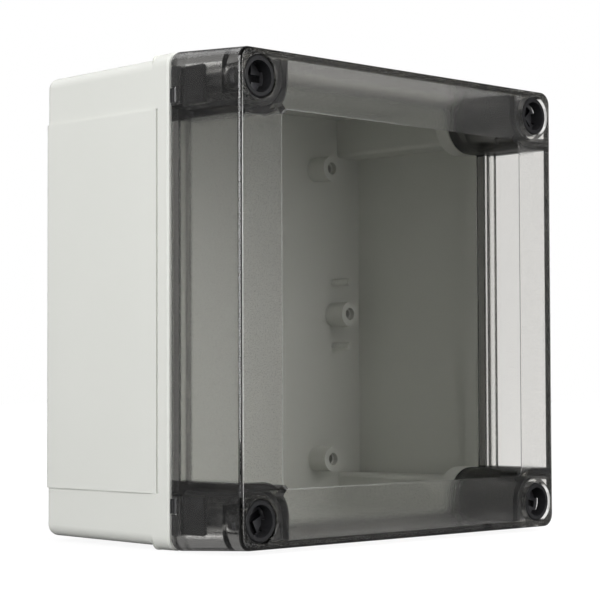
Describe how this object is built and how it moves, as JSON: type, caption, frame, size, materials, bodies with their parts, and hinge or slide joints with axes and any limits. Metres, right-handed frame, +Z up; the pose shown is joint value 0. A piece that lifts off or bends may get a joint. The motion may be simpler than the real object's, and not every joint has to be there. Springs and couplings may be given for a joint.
{
  "type": "hinged wall enclosure",
  "caption": "Square wall enclosure with an opaque tray, a deep smoke-tinted hinged cover with a clear window, and black cup-headed cover screws in the corners.",
  "frame": {"origin": "centre of the bottom of the closed enclosure's bounding box", "axes": "+X to the right seen from the front, +Y from the cover to the wall, +Z up; the hinge is on the left"},
  "size_m": [0.18, 0.111, 0.182],
  "materials": {
    "base_plastic": "light grey moulded polycarbonate, fine satin texture",
    "smoke_cover": "smoke-tinted clear polycarbonate, finely textured outside the window",
    "seal_foam": "soft foamed seal, pale grey",
    "black_plastic": "black moulded nylon, satin",
    "clip_steel": "spring steel strip",
    "pin_steel": "drawn stainless wire"
  },
  "bodies": {
    "base": {"base": "base_plastic", "hinge_eye_upper": "black_plastic", "hinge_eye_lower": "black_plastic"},
    "cover": {"cover": "smoke_cover", "cover_gasket": "seal_foam", "hinge_bracket_upper": "black_plastic", "hinge_bracket_lower": "black_plastic", "hinge_pin_upper": "pin_steel", "hinge_pin_lower": "pin_steel"},
    "clip_upper_left": {"retaining_clip_upper_left": "clip_steel"},
    "screw_upper_left": {"cover_screw_upper_left": "black_plastic"},
    "clip_upper_right": {"retaining_clip_upper_right": "clip_steel"},
    "screw_upper_right": {"cover_screw_upper_right": "black_plastic"},
    "clip_lower_left": {"retaining_clip_lower_left": "clip_steel"},
    "screw_lower_left": {"cover_screw_lower_left": "black_plastic"},
    "clip_lower_right": {"retaining_clip_lower_right": "clip_steel"},
    "screw_lower_right": {"cover_screw_lower_right": "black_plastic"}
  },
  "joints": [
    {"name": "cover_hinge", "type": "hinge", "parent": "base", "child": "cover", "pos_m": [-0.088, -0.0213, 0.091], "axis": [0, 0, -1], "range_deg": [0, 95]},
    {"name": "upper_left_screw_out", "type": "slide", "parent": "cover", "child": "clip_upper_left", "axis": [0, -1, 0], "range_m": [0, 0.005]},
    {"name": "upper_left_screw_turn", "type": "hinge", "parent": "clip_upper_left", "child": "screw_upper_left", "pos_m": [-0.0782, -0.03, 0.17], "axis": [0, -1, 0], "range_deg": [0, 361]},
    {"name": "upper_right_screw_out", "type": "slide", "parent": "cover", "child": "clip_upper_right", "axis": [0, -1, 0], "range_m": [0, 0.005]},
    {"name": "upper_right_screw_turn", "type": "hinge", "parent": "clip_upper_right", "child": "screw_upper_right", "pos_m": [0.0782, -0.03, 0.17], "axis": [0, -1, 0], "range_deg": [0, 361]},
    {"name": "lower_left_screw_out", "type": "slide", "parent": "cover", "child": "clip_lower_left", "axis": [0, -1, 0], "range_m": [0, 0.005]},
    {"name": "lower_left_screw_turn", "type": "hinge", "parent": "clip_lower_left", "child": "screw_lower_left", "pos_m": [-0.0782, -0.03, 0.012], "axis": [0, -1, 0], "range_deg": [0, 361]},
    {"name": "lower_right_screw_out", "type": "slide", "parent": "cover", "child": "clip_lower_right", "axis": [0, -1, 0], "range_m": [0, 0.005]},
    {"name": "lower_right_screw_turn", "type": "hinge", "parent": "clip_lower_right", "child": "screw_lower_right", "pos_m": [0.0782, -0.03, 0.012], "axis": [0, -1, 0], "range_deg": [0, 361]}
  ],
  "couplings": [
    {"joint": "upper_left_screw_turn", "follows": "upper_left_screw_out", "rad_per_m": 1256.6},
    {"joint": "upper_right_screw_turn", "follows": "upper_right_screw_out", "rad_per_m": 1256.6},
    {"joint": "lower_left_screw_turn", "follows": "lower_left_screw_out", "rad_per_m": 1256.6},
    {"joint": "lower_right_screw_turn", "follows": "lower_right_screw_out", "rad_per_m": 1256.6}
  ]
}
